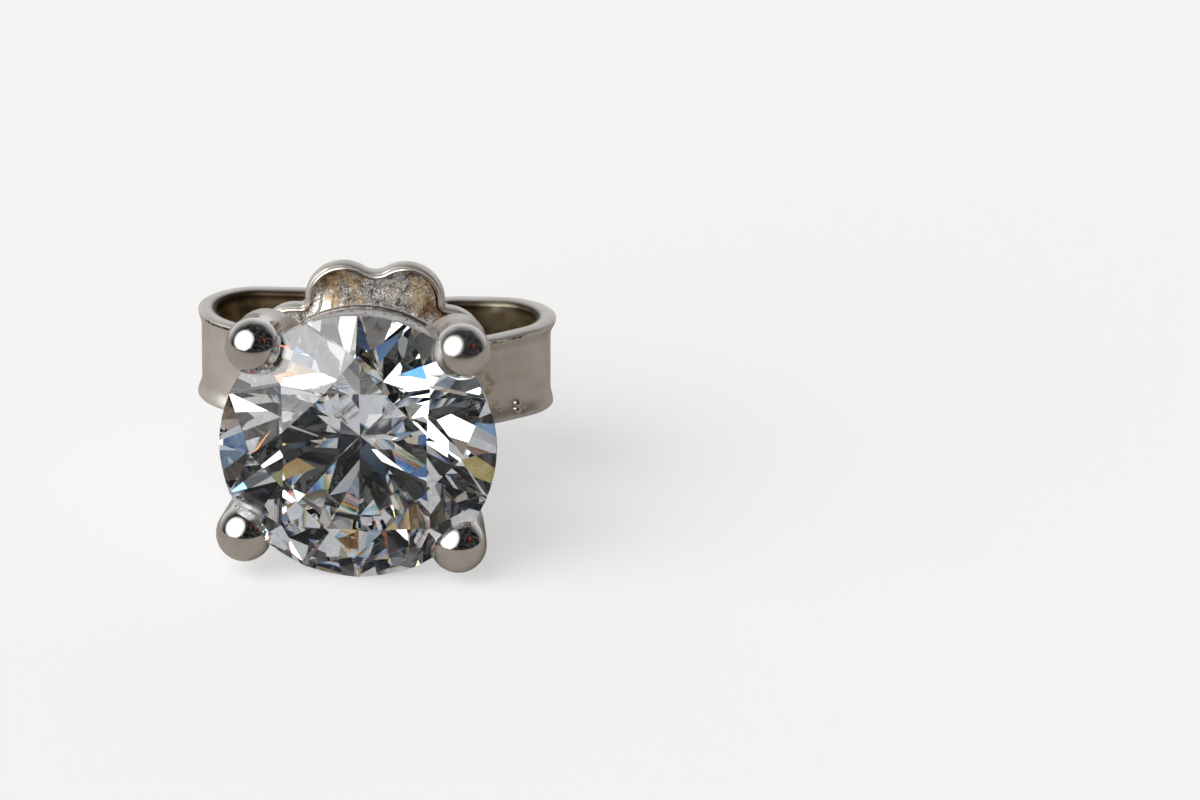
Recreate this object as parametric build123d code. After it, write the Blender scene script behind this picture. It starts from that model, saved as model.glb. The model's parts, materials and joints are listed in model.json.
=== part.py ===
"""Four-claw solitaire stud earring: a round brilliant, a cast setting with its post, and a scroll back.

Millimetres. Pieces are drawn in the stud's own axes: y = 0 at the girdle, z = 0 on the post's axis, the post
running towards +Y and the stone facing -Y. The whole stud is then leaned back by 3 degrees, so that it lies
on its stone's edge and its back's lower lobes, with the origin at the middle of its box's bottom.
"""
from build123d import *
import math
import os

# Stone: a 57-facet round brilliant
STONE_DIAMETER = 5.0
TABLE_SHARE = 0.56
CROWN_ANGLE = 34.5
PAVILION_ANGLE = 41.0
STAR_SHARE = 0.50
LOWER_HALF_SHARE = 0.77
GIRDLE_THICKNESS = 0.15
MAIN_FACETS = 8
STEP_ANGLE = 360 / MAIN_FACETS
MAIN_TURN = STEP_ANGLE / 2
SEAT_GAP = 0.03

# Setting: ball-ended claws, gallery ring, base pad and post, cast and soldered as one
CLAWS = {
    "upper_right": {"azimuth": 45, "ball_reach": 2.655},
    "upper_left": {"azimuth": 134.7, "ball_reach": 2.665},
    "lower_left": {"azimuth": 219.6, "ball_reach": 2.665},
    "lower_right": {"azimuth": 314.8, "ball_reach": 2.57},
}
BALL_RADIUS = 0.515
BALL_Y = -0.08
CLAW_TOP_RADIUS = 0.48
CLAW_BEND_RADIUS = 0.44
CLAW_FOOT_RADIUS = 0.27
CLAW_BEND_REACH = 2.46
CLAW_BEND_Y = 1.2
CLAW_FOOT_REACH = 0.3
CLAW_FOOT_Y = 2.71
RING_OUTER_RADIUS = 2.04
RING_WALL = 0.3
RING_FRONT_Y = 0.95
RING_BACK_Y = 1.72
RING_LIP_RADIUS = 0.07
PAD_RADIUS = 0.85
PAD_FRONT_Y = 2.42
PAD_BACK_Y = 3.0
PAD_CHAMFER = 0.12

POST_RADIUS = 0.42
POST_TIP_Y = 8.35
NOTCH_START_Y = 6.1
NOTCH_LENGTH = 0.6
NOTCH_DEPTH = 0.08

# Scroll back: one strip with a lobed plate in the middle and an arm curled into a scroll on each side
SHEET = 0.27
RIM_RAISE = 0.1
RIM_WIDTH = 0.13
PLATE_MIDDLE_Y = 3.39
PLATE_FLAT_HALF = 1.26
STRIP_HALF_HEIGHT = 0.845
LOBE_TOP = 2.32
LOBES = {"right": {"side": 1, "x": 0.635, "radius": 0.705}, "left": {"side": -1, "x": 0.5, "radius": 0.7}}
LOBE_NOTCH_FILLET = 0.38
SHOULDER_X = 1.36
SHOULDER_Z = 0.9
SHOULDER_RADIUS = 0.6
SHOULDER_FILLET = 0.1
PLATE_END_Y = 3.77
FRONT_ROOM = 1.0
BAND_DEPTH = 4.0
BAND_WIDTH = 12.0
HOLE_RADIUS = 0.46
GRIP_GAP = 0.03
ARM_TURN = 38
ARM_RUN = 0.52
BACK_TURN = 40
BACK_RADIUS = 1.0
GRIP_RADIUS = 0.9
CURL_RADIUS = 0.4
CURL_TURN = 75
SCROLLS = {
    "right": {"mirror": 1, "reach": 3.045, "arm_radius": 1.75, "corner_radius": 0.807, "grip_run": 0.05},
    "left": {"mirror": -1, "reach": 3.09, "arm_radius": 1.62, "corner_radius": 0.895, "grip_run": 0.33},
}

STONE_RADIUS = STONE_DIAMETER / 2
CROWN_HEIGHT = STONE_RADIUS * (1 - TABLE_SHARE) * math.tan(math.radians(CROWN_ANGLE))
PLATE_BACK_Y = PLATE_MIDDLE_Y + SHEET / 2
REST_SLOPE = math.atan2(STONE_RADIUS - LOBE_TOP, PLATE_BACK_Y - GIRDLE_THICKNESS / 2)


def facet_plane(azimuth, angle, reach, height, side):
    """Plane of a facet that tilts by angle from the girdle and passes reach from the axis at this height."""
    turn = math.radians(azimuth)
    tilt = math.radians(angle)
    out = Vector(math.cos(turn), math.sin(turn), 0)
    normal = out * math.sin(tilt) + Vector(0, 0, side * math.cos(tilt))
    return Plane(origin=out * reach + Vector(0, 0, height), z_dir=normal)


def facet_planes(growth):
    """Every facet of the brilliant, crown towards +Z, each moved outwards by growth."""
    half_girdle = GIRDLE_THICKNESS / 2
    crown = math.tan(math.radians(CROWN_ANGLE))
    pavilion = math.tan(math.radians(PAVILION_ANGLE))
    half_step = math.radians(STEP_ANGLE / 2)
    near_girdle = STONE_RADIUS * math.cos(half_step / 2)
    table_edge = STONE_RADIUS * TABLE_SHARE * math.cos(half_step)
    star_tip = table_edge + STAR_SHARE * (STONE_RADIUS - table_edge)
    star_drop = (STONE_RADIUS - star_tip * math.cos(half_step)) * crown
    star_angle = math.degrees(math.atan2(CROWN_HEIGHT - star_drop, star_tip - table_edge))
    upper_angle = math.degrees(math.atan2(star_drop, near_girdle - star_tip * math.cos(half_step / 2)))
    lower_tip = (1 - LOWER_HALF_SHARE) * STONE_RADIUS
    lower_drop = (STONE_RADIUS - lower_tip * math.cos(half_step)) * pavilion
    lower_angle = math.degrees(math.atan2(lower_drop, near_girdle - lower_tip * math.cos(half_step / 2)))
    planes = [facet_plane(0, 0, 0, half_girdle + CROWN_HEIGHT, 1)]
    for index in range(MAIN_FACETS):
        main = MAIN_TURN + index * STEP_ANGLE
        planes.append(facet_plane(main, CROWN_ANGLE, STONE_RADIUS, half_girdle, 1))
        planes.append(facet_plane(main, PAVILION_ANGLE, STONE_RADIUS, -half_girdle, -1))
        star_height = half_girdle + CROWN_HEIGHT
        planes.append(facet_plane(main + STEP_ANGLE / 2, star_angle, table_edge, star_height, 1))
        for side in (-STEP_ANGLE / 4, STEP_ANGLE / 4):
            planes.append(facet_plane(main + side, upper_angle, near_girdle, half_girdle, 1))
            planes.append(facet_plane(main + side, lower_angle, near_girdle, -half_girdle, -1))
    return [plane.offset(growth) for plane in planes]


def brilliant(growth=0):
    """Round brilliant cut out of a disc, facet by facet, with its table turned to face -Y."""
    stone = Cylinder(STONE_RADIUS + growth, 2 * STONE_DIAMETER)
    for plane in facet_planes(growth):
        stone = split(stone, bisect_by=plane, keep=Keep.BOTTOM)
    return Rot(90, 0, 0) * stone


def rod(start, end, start_radius, end_radius):
    """Round rod that tapers from one point to another."""
    run = end - start
    return Solid.make_cone(start_radius, end_radius, run.length, Plane(origin=start, z_dir=run))


def around_axis(azimuth, reach, y):
    """Point at this distance from the post's axis, turned from +X towards +Z."""
    turn = math.radians(azimuth)
    return Vector(reach * math.cos(turn), y, reach * math.sin(turn))


def claw(azimuth, ball_reach):
    """Claw that leans in from its ball, bends behind the stone and runs to the base pad."""
    top = around_axis(azimuth, ball_reach, BALL_Y)
    bend = around_axis(azimuth, CLAW_BEND_REACH, CLAW_BEND_Y)
    foot = around_axis(azimuth, CLAW_FOOT_REACH, CLAW_FOOT_Y)
    ball = Pos(top) * Sphere(BALL_RADIUS)
    elbow = Pos(bend) * Sphere(CLAW_BEND_RADIUS)
    stem = rod(top, bend, CLAW_TOP_RADIUS, CLAW_BEND_RADIUS)
    arm = rod(bend, foot, CLAW_BEND_RADIUS, CLAW_FOOT_RADIUS)
    return ball + stem + elbow + arm


def gallery_ring():
    """Collar that ties the claws together behind the stone, with a rounded lip at its back edge."""
    wall_middle = RING_OUTER_RADIUS - RING_WALL / 2
    length = RING_BACK_Y - RING_FRONT_Y
    band = Pos(wall_middle, RING_FRONT_Y + length / 2) * Rectangle(RING_WALL, length)
    lip = Pos(RING_OUTER_RADIUS, RING_BACK_Y - RING_LIP_RADIUS) * Circle(RING_LIP_RADIUS)
    return revolve(band + lip, axis=Axis.Y)


def base_pad():
    """Round pad where the claws meet and the post is soldered on."""
    length = PAD_BACK_Y - PAD_FRONT_Y
    pad = Pos(0, PAD_FRONT_Y + length / 2, 0) * Rot(90, 0, 0) * Cylinder(PAD_RADIUS, length)
    return chamfer(pad.edges().filter_by(GeomType.CIRCLE), PAD_CHAMFER)


def post():
    """Plain post with a shallow rounded friction notch and a rounded tip, turned about its axis."""
    notch_end = NOTCH_START_Y + NOTCH_LENGTH
    notch_floor = (POST_RADIUS - NOTCH_DEPTH, NOTCH_START_Y + NOTCH_LENGTH / 2)
    tip_start = POST_TIP_Y - POST_RADIUS
    tip_middle = math.sqrt(0.5) * POST_RADIUS
    side = Polyline((0, CLAW_FOOT_Y), (POST_RADIUS, CLAW_FOOT_Y), (POST_RADIUS, NOTCH_START_Y))
    notch = ThreePointArc((POST_RADIUS, NOTCH_START_Y), notch_floor, (POST_RADIUS, notch_end))
    free_end = Line((POST_RADIUS, notch_end), (POST_RADIUS, tip_start))
    tip = ThreePointArc((POST_RADIUS, tip_start), (tip_middle, tip_start + tip_middle), (0, POST_TIP_Y))
    axis_line = Line((0, POST_TIP_Y), (0, CLAW_FOOT_Y))
    return revolve(make_face(side + notch + free_end + tip + axis_line), axis=Axis.Y)


def claw_setting():
    """Claws, ring, pad and post as one solid, with a seat cut for the stone."""
    setting = gallery_ring() + base_pad() + post()
    for spec in CLAWS.values():
        setting += claw(spec["azimuth"], spec["ball_reach"])
    return setting - brilliant(SEAT_GAP)


def scroll_route(scroll):
    """Middle line of one side in plan, from the plate to the scroll's end: kind, length or radius, turn."""
    arm_turn = math.radians(ARM_TURN)
    arm_width = scroll["arm_radius"] * math.sin(arm_turn) + ARM_RUN * math.cos(arm_turn)
    outer_radius = (scroll["reach"] - PLATE_FLAT_HALF - arm_width) / (1 - math.sin(arm_turn))
    grip_x = POST_RADIUS + GRIP_GAP + SHEET / 2
    back_end = math.radians(180 + BACK_TURN)
    back_width = -BACK_RADIUS * math.sin(back_end)
    grip_width = GRIP_RADIUS * (1 + math.sin(back_end))
    back_run = scroll["reach"] - scroll["corner_radius"] - back_width - grip_width - grip_x
    return [
        ("line", PLATE_FLAT_HALF, 0),
        ("arc", scroll["arm_radius"], ARM_TURN),
        ("line", ARM_RUN, 0),
        ("arc", outer_radius, 90 - ARM_TURN),
        ("arc", scroll["corner_radius"], 90),
        ("line", back_run, 0),
        ("arc", BACK_RADIUS, BACK_TURN),
        ("arc", GRIP_RADIUS, 90 - BACK_TURN),
        ("line", scroll["grip_run"], 0),
        ("arc", CURL_RADIUS, CURL_TURN),
    ]


def route_edges(scroll, outwards):
    """Edges of one side's route moved outwards by this much, and its end point."""
    side = scroll["mirror"]
    point = Vector(0, PLATE_MIDDLE_Y - outwards)
    heading = 0.0
    edges = []
    for kind, size, turn in scroll_route(scroll):
        if kind == "line":
            end = point + Vector(side * math.cos(heading), math.sin(heading)) * size
            edges.append(Line(point, end))
        else:
            radius = size + outwards
            centre = point + Vector(-side * math.sin(heading), math.cos(heading)) * radius
            half = heading + math.radians(turn) / 2
            heading += math.radians(turn)
            middle = centre + Vector(side * math.sin(half), -math.cos(half)) * radius
            end = centre + Vector(side * math.sin(heading), -math.cos(heading)) * radius
            edges.append(ThreePointArc(point, middle, end))
        point = end
    return edges, point


def strip_wall(inner, outer):
    """The whole strip between two distances outwards from its middle line, as a tall wall."""
    outline = []
    for scroll in SCROLLS.values():
        inner_edges, inner_end = route_edges(scroll, inner)
        outer_edges, outer_end = route_edges(scroll, outer)
        outline += inner_edges + outer_edges + [Line(outer_end, inner_end)]
    return extrude(make_face(outline), amount=2 * STONE_RADIUS, both=True)


def plate_outline(inset):
    """Front outline of the strip: two lobes at the top and bottom, a shoulder at each corner, and arms."""
    shoulder_radius = SHOULDER_RADIUS - inset
    shoulder_top = SHOULDER_Z + shoulder_radius
    corner_spots = []
    outline = Rectangle(BAND_WIDTH, 2 * (STRIP_HALF_HEIGHT - inset))
    outline += Rectangle(2 * (SHOULDER_X + shoulder_radius), 2 * SHOULDER_Z)
    for lobe in LOBES.values():
        lobe_radius = lobe["radius"] - inset
        lobe_z = LOBE_TOP - lobe["radius"]
        half_width = lobe["x"] + lobe_radius
        outline += Pos(lobe["side"] * half_width / 2, 0) * Rectangle(half_width, 2 * lobe_z)
        for side_z in (-1, 1):
            outline += Pos(lobe["side"] * lobe["x"], side_z * lobe_z) * Circle(lobe_radius)
            outline += Pos(lobe["side"] * SHOULDER_X, side_z * SHOULDER_Z) * Circle(shoulder_radius)
            corner_spots.append(Vector(lobe["side"] * half_width, side_z * shoulder_top))
    notches = [outline.vertices().sort_by_distance(Vector(0, z))[0] for z in (-LOBE_TOP, LOBE_TOP)]
    outline = fillet(notches, LOBE_NOTCH_FILLET + inset)
    corners = [outline.vertices().sort_by_distance(spot)[0] for spot in corner_spots]
    return fillet(corners, SHOULDER_FILLET + inset)


def envelope(inset):
    """Space that the strip's height is cut to: the lobed outline in front, and a plain band further back."""
    front_y = PLATE_MIDDLE_Y - FRONT_ROOM
    front_plane = Plane(origin=(0, front_y, 0), x_dir=(1, 0, 0), z_dir=(0, 1, 0))
    front = extrude(front_plane * plate_outline(inset), amount=PLATE_END_Y - front_y)
    height = 2 * (STRIP_HALF_HEIGHT - inset)
    back = Pos(0, PLATE_END_Y + BAND_DEPTH / 2, 0) * Box(BAND_WIDTH, BAND_DEPTH, height)
    return front + back


def butterfly_back():
    """One bent strip: a dished, lobed plate with a raised rim, whose arms curl round to grip the post."""
    back = strip_wall(-SHEET / 2, SHEET / 2 + RIM_RAISE) & envelope(0)
    back -= strip_wall(SHEET / 2, SHEET / 2 + 2 * RIM_RAISE) & envelope(RIM_WIDTH)
    return back - Pos(0, PLATE_MIDDLE_Y, 0) * Rot(90, 0, 0) * Cylinder(HOLE_RADIUS, 4 * SHEET)


def at_rest(pieces):
    """Lean the stud back until its stone and its back's lower lobes touch the ground, and centre its box."""
    leaning = {node: Rot(-math.degrees(REST_SLOPE), 0, 0) * piece for node, piece in pieces.items()}
    boxes = [piece.bounding_box() for piece in leaning.values()]
    middle_x = (min(box.min.X for box in boxes) + max(box.max.X for box in boxes)) / 2
    middle_y = (min(box.min.Y for box in boxes) + max(box.max.Y for box in boxes)) / 2
    bottom = min(box.min.Z for box in boxes)
    return {node: Pos(-middle_x, -middle_y, -bottom) * piece for node, piece in leaning.items()}


PIECES = {
    "stone": brilliant(),
    "claw_setting": claw_setting(),
    "butterfly_back": butterfly_back(),
}

os.makedirs("parts", exist_ok=True)
for node, piece in at_rest(PIECES).items():
    export_step(piece, f"parts/{node}.step")
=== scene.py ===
import json
import math

import bmesh
import bpy
import numpy as np
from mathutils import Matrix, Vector


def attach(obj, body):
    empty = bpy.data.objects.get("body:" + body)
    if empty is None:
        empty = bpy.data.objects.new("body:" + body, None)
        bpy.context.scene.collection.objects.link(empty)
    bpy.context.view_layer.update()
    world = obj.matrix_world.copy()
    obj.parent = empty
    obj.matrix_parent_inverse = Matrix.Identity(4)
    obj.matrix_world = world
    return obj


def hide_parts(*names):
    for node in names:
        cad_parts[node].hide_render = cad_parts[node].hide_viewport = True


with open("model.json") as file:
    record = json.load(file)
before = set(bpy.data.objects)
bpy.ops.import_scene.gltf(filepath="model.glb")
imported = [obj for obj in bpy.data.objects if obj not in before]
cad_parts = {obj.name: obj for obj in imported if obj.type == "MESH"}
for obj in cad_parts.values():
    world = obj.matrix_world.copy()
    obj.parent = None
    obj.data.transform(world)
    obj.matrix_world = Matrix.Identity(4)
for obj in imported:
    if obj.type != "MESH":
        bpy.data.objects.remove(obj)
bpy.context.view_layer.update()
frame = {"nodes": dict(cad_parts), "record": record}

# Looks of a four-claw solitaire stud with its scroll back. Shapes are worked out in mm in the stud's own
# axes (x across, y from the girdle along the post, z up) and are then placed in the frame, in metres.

MM = 0.001

# Where the stud lies: the post's free end is the record's mount, and the girdle is this far in front of it
MOUNT = frame["record"]["mounts"][0]
MOUNT_Y = 7.315
ACROSS = np.array((1.0, 0.0, 0.0))
ALONG = np.array(MOUNT["axis"])
UPWARDS = np.array((0.0, -ALONG[2], ALONG[1]))
GIRDLE = np.array(MOUNT["pos_m"]) - ALONG * MOUNT_Y * MM

# Stone, claws, ring, pad and post, in mm; angles are in degrees from the x axis
SEAT_GROWTH = 1.016
BALL_RADIUS = 0.515
BALL_Y = -0.08
CLAW_AZIMUTHS = (45.0, 134.7, 219.6, 314.8)
BALL_REACHES = (2.655, 2.665, 2.665, 2.57)
CLAW_TOP_RADIUS = 0.515
CLAW_BEND_RADIUS = 0.44
CLAW_FOOT_RADIUS = 0.27
CLAW_BEND_REACH = 2.46
CLAW_BEND_Y = 1.2
CLAW_FOOT_REACH = 0.3
CLAW_FOOT_Y = 2.71
CLAW_ELBOW = 0.9
BALL_POLISH = (0.6, 1.0, 0.95, 1.0)
RING_RADIUS = 2.04
RING_LIP = 0.07
RING_LIP_Y = 1.65
POST_RADIUS = 0.42
NOTCH_Y = 6.4
NOTCH_HALF = 0.3
NOTCH_DEPTH = 0.08
TIP_START_Y = 7.93
POLE = 0.001
# Pits in the cast ring: middle and radius
SOLDER_PITS = (((-1.52, 1.5, 1.69), 0.07), ((-1.39, 1.5, 1.77), 0.06), ((-1.22, 1.57, 1.79), 0.05))
CAST_VOXEL = 0.036
CAST_SMOOTHING = 7
CLAW_SIDES = 64
SHARP_EDGE = math.radians(40)
# Where the polish of the balls ends, in ball radii; then where the ring's matt band and its bright lip start
# and end: distance from the axis, and y
POLISH_FADE = (1.02, 1.7)
BAND_RADII = (1.62, 1.7, 2.09, 2.15)
BAND_DEPTHS = (0.86, 0.9, 1.52, 1.6)
LIP_RADII = (1.96, 2.04, 2.12, 2.18)
LIP_DEPTHS = (1.54, 1.6, 1.76, 1.82)
LIP_SHINE = 0.4

# Scroll back, in mm
SHEET = 0.27
RIM_RAISE = 0.1
PLATE_MIDDLE_Y = 3.39
PLATE_FLAT_HALF = 1.26
STRIP_HALF_HEIGHT = 0.845
LOBE_TOP = 2.32
RIGHT_LOBE = {"x": 0.635, "radius": 0.705}
LEFT_LOBE = {"x": -0.5, "radius": 0.7}
NOTCH_FILLET = 0.38
SHOULDER_X = 1.36
SHOULDER_Z = 0.9
SHOULDER_RADIUS = 0.6
SHOULDER_FILLET = 0.1
HOLE_RADIUS = 0.46
GRIP_GAP = 0.03
ARM_TURN = math.radians(38)
ARM_RUN = 0.52
BACK_TURN = math.radians(40)
BACK_RADIUS = 1.0
GRIP_RADIUS = 0.9
CURL_RADIUS = 0.4
CURL_TURN = math.radians(75)
RIGHT_SCROLL = {"side": 1, "reach": 3.045, "arm_radius": 1.75, "corner_radius": 0.807, "grip_run": 0.05,
                "lobe": RIGHT_LOBE}
LEFT_SCROLL = {"side": -1, "reach": 3.09, "arm_radius": 1.62, "corner_radius": 0.895, "grip_run": 0.33,
               "lobe": LEFT_LOBE}
FLARES = {"right": {"top": 0.1, "bottom": 0.05}, "left": {"top": 0.06, "bottom": 0.075}}
# Half width of the front that has the lobes' outline, and how far past its round a fillet acts
FRONT_HALF = 2.2
FILLET_REACH = 0.4
# Where along the run the plate passes into the loops, where the rim and the flare fall off inwards from the
# edge, and the half width in which the ends' different flares blend
PLATE_END = (1.5, 2.1)
RIM_FALL = (0.105, 0.165)
FLARE_FALL = (0.04, 0.33)
BLEND = 0.1
# Columns along the run: a fine step on the front, a coarse one behind it, and a crowd at each upright side
FINE_RUN = 2.3
FINE_STEP = 0.035
COARSE_STEP = 0.05
LEAST_STEP = 0.002
CROWD = (-0.16, -0.12, -0.09, -0.065, -0.045, -0.03, -0.018, -0.009, -0.003,
         0.003, 0.009, 0.02, 0.04, 0.07, 0.11)
# Levels from the edge inwards, past the round lip, over the raised rim
RIM_LEVELS = (0.105, 0.12, 0.14, 0.16, 0.185, 0.22, 0.26)
# Rounding of the inner and the outer lips, and the rise round the hole: where it starts, peaks and ends
LIP_ROUND = 0.09
OUTER_LIP_ROUND = 0.045
BOSS_RAISE = 0.24
BOSS_SEAT = 0.95
BOSS_INNER = 1.25
BOSS_OUTER = 2.0
# Creases along the rim, drawn as dark lines of painted shade: how far inside the outline, how wide, and
# between which places of the run; and the step that finds the outline's slope, for the rim's painted shaded
# side
CREASE_DEPTH = 0.07
CREASE_HALF_WIDTH = 0.022
CREASES = {"right": (1.6, 2.8), "left": (-3.3, -2.3)}
SLOPE_STEP = 0.01
# Solder beads, pits beside them and drips, each as middle and radius; stains as middle, inner and outer
# radius; and two bright places: a painted golden highlight in one loop's hollow, and a spot on the face
# rubbed smooth, with less painted shade and fewer dents
BEADS = (((2.61, 3.79, -0.545), 0.09), ((2.61, 3.77, -0.655), 0.085))
BEAD_PITS = (((2.73, 3.89, -0.68), 0.075), ((2.31, 3.58, -0.6), 0.05),
             ((2.36, 3.62, -0.66), 0.035), ((2.45, 3.69, -0.64), 0.045))
STAINS = (((-0.07, 3.75, 2.6), 0.3, 0.52), ((1.76, 3.75, 2.3), 0.34, 0.58))
DRIPS = (((2.08, 3.42, 0.12), 0.14), ((2.16, 3.46, 0.0), 0.2),
         ((2.1, 3.43, -0.2), 0.16), ((2.24, 3.52, -0.5), 0.16))
PAINTED_HIGHLIGHT_SPOT = (2.16, 5.2, 0.6)
WORN_SPOT = (-0.85, 3.1, 1.48)


def placed(points):
    """Points in the stud's own axes, in mm, moved to their place in the frame, in metres."""
    points = np.asarray(points, float)
    return GIRDLE + MM * points @ np.array((ACROSS, ALONG, UPWARDS))


def smooth_step(low, high, value):
    """0 below low, 1 above high, and 3t2 - 2t3 between them."""
    t = np.clip((value - low) / (high - low), 0, 1)
    return t * t * (3 - 2 * t)


def plateau(value, rise_start, rise_end, fall_start, fall_end):
    """1 between the end of the rise and the start of the fall, and smoothly down to 0 on either side."""
    return smooth_step(rise_start, rise_end, value) * (1 - smooth_step(fall_start, fall_end, value))


def grid_quads(rows, columns, first=0, close_rows=False, close_columns=False):
    """Quads of a grid of points kept row by row, joined end to end in a closed direction."""
    row = np.arange(rows if close_rows else rows - 1)
    column = np.arange(columns if close_columns else columns - 1)
    row, column = np.meshgrid(row, column, indexing="ij")
    next_row, next_column = (row + 1) % rows, (column + 1) % columns
    corners = (row * columns + column, row * columns + next_column,
               next_row * columns + next_column, next_row * columns + column)
    return first + np.stack(corners, -1).reshape(-1, 4)


def linked(name, data):
    """A new object that holds this data, linked to the scene."""
    made = bpy.data.objects.new(name, data)
    bpy.context.scene.collection.objects.link(made)
    return made


def mesh_object(name, points, faces, smooth=True):
    """A mesh object made of these points and faces, linked to the scene."""
    mesh = bpy.data.meshes.new(name)
    mesh.from_pydata(points.tolist(), [], [list(face) for face in faces])
    mesh.polygons.foreach_set("use_smooth", np.full(len(mesh.polygons), smooth))
    mesh.update()
    return linked(name, mesh)


def turned(profile, steps):
    """Surface of revolution: each (radius, y) point of the profile goes round the post's axis."""
    profile = np.asarray(profile, float)
    angle = np.arange(steps) * 2 * math.pi / steps
    radius, y = profile[:, 0, None], profile[:, 1, None]
    return np.stack((radius * np.cos(angle), y + 0 * angle, radius * np.sin(angle)), -1)


def claw_tube(azimuth, ball_reach):
    """A round tube along the claw's path: ball, bend behind the stone, foot on the pad. The bend is rounded
    by a running mean of the path, and the radius is the larger of the ball's circle and the stem's taper."""
    turn = math.radians(azimuth)
    outwards = np.array((math.cos(turn), 0.0, math.sin(turn)))
    sideways = np.array((-math.sin(turn), 0.0, math.cos(turn)))
    back = np.array((0.0, 1.0, 0.0))
    ball = outwards * ball_reach + back * BALL_Y
    bend = outwards * CLAW_BEND_REACH + back * CLAW_BEND_Y
    foot = outwards * CLAW_FOOT_REACH + back * CLAW_FOOT_Y
    stem_length = np.linalg.norm(bend - ball)
    arm_length = np.linalg.norm(foot - bend)
    cap = -BALL_RADIUS * np.cos(np.linspace(0, math.pi / 2, 24))
    run = np.concatenate((cap, np.linspace(0, stem_length + arm_length, 160)[1:]))
    stations = np.array((-BALL_RADIUS, 0.0, stem_length, stem_length + arm_length))
    corners = np.array((ball - (bend - ball) / stem_length * BALL_RADIUS, ball, bend, foot))
    window = np.linspace(-CLAW_ELBOW / 2, CLAW_ELBOW / 2, 15)
    spread = np.clip(run[:, None] + window, stations[0], stations[-1])
    spread = np.where(np.abs(run - stem_length)[:, None] < CLAW_ELBOW, spread, run[:, None])
    path = np.stack([np.interp(spread, stations, corners[:, axis]).mean(1) for axis in range(3)], -1)
    sphere = np.sqrt(np.clip(BALL_RADIUS**2 - run**2, 0, None))
    taper = np.interp(run, (0, stem_length, stem_length + arm_length),
                      (CLAW_TOP_RADIUS, CLAW_BEND_RADIUS, CLAW_FOOT_RADIUS))
    radius = np.where(run < 0, sphere, np.maximum(sphere, taper))
    tangent = np.gradient(path, run, axis=0)
    tangent /= np.linalg.norm(tangent, axis=1, keepdims=True)
    normal = np.cross(tangent, sideways)
    angle = np.arange(CLAW_SIDES) * 2 * math.pi / CLAW_SIDES
    ring = normal[:, None] * np.cos(angle)[:, None] + sideways * np.sin(angle)[:, None]
    return path[:, None] + radius[:, None, None] * ring


def closed_shells(shells, first=0):
    """Points and faces of several tubes, each closed round its columns and capped at both ends."""
    points, faces = [], []
    for shell, close_rows in shells:
        rows, columns = shell.shape[:2]
        points.append(shell.reshape(-1, 3))
        faces += grid_quads(rows, columns, first, close_rows, True).tolist()
        if not close_rows:
            faces.append((first + np.arange(columns)[::-1]).tolist())
            faces.append((first + (rows - 1) * columns + np.arange(columns)).tolist())
        first += rows * columns
    return np.concatenate(points), faces


def outwards_facing(made):
    """Recalculate a closed mesh's normals so that they point out of the metal."""
    work = bmesh.new()
    work.from_mesh(made.data)
    bmesh.ops.remove_doubles(work, verts=work.verts, dist=1e-6)
    bmesh.ops.recalc_face_normals(work, faces=work.faces)
    work.to_mesh(made.data)
    work.free()


def points_of(mesh):
    """A mesh's points as an array of rows."""
    points = np.zeros(len(mesh.vertices) * 3)
    mesh.vertices.foreach_get("co", points)
    return points.reshape(-1, 3)


def finished(made, cutter):
    """The object's mesh with its modifiers applied and the cutter's shape taken out, and its points as an
    array. Both objects are removed."""
    cut = made.modifiers.new("cut", "BOOLEAN")
    cut.operation, cut.object, cut.solver = "DIFFERENCE", cutter, "EXACT"
    view = bpy.context.evaluated_depsgraph_get()
    mesh = bpy.data.meshes.new_from_object(made.evaluated_get(view), depsgraph=view)
    bpy.data.objects.remove(made)
    bpy.data.objects.remove(cutter)
    return mesh, points_of(mesh)


def piece(name, mesh, points, body, node, material, values):
    mesh.vertices.foreach_set("co", placed(points).ravel())
    for key, value in values.items():
        layer = mesh.attributes.get(key) or mesh.attributes.new(key, "FLOAT", "POINT")
        layer.data.foreach_set("value", value.astype(np.float32))
    mesh.materials.clear()
    mesh.materials.append(material)
    mesh.polygons.foreach_set("use_smooth", np.ones(len(mesh.polygons), bool))
    mesh.set_sharp_from_angle(angle=SHARP_EDGE)
    mesh.update()
    made = linked(name, mesh)
    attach(made, body)
    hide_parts(node)
    return made


def seat_cutter():
    """The stone's own hull, grown a little about the middle of its girdle, in the stud's own axes."""
    points = points_of(frame["nodes"]["stone"].data)
    local = (points - GIRDLE) / MM @ np.array((ACROSS, ALONG, UPWARDS)).T
    work = bmesh.new()
    for point in (local * SEAT_GROWTH).tolist():
        work.verts.new(point)
    bmesh.ops.remove_doubles(work, verts=work.verts, dist=1e-4)
    hull = bmesh.ops.convex_hull(work, input=work.verts)
    bmesh.ops.delete(work, geom=[v for v in hull["geom_interior"] if isinstance(v, bmesh.types.BMVert)])
    made = mesh_object("seat_cutter", np.zeros((0, 3)), [])
    work.to_mesh(made.data)
    work.free()
    return made


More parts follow.
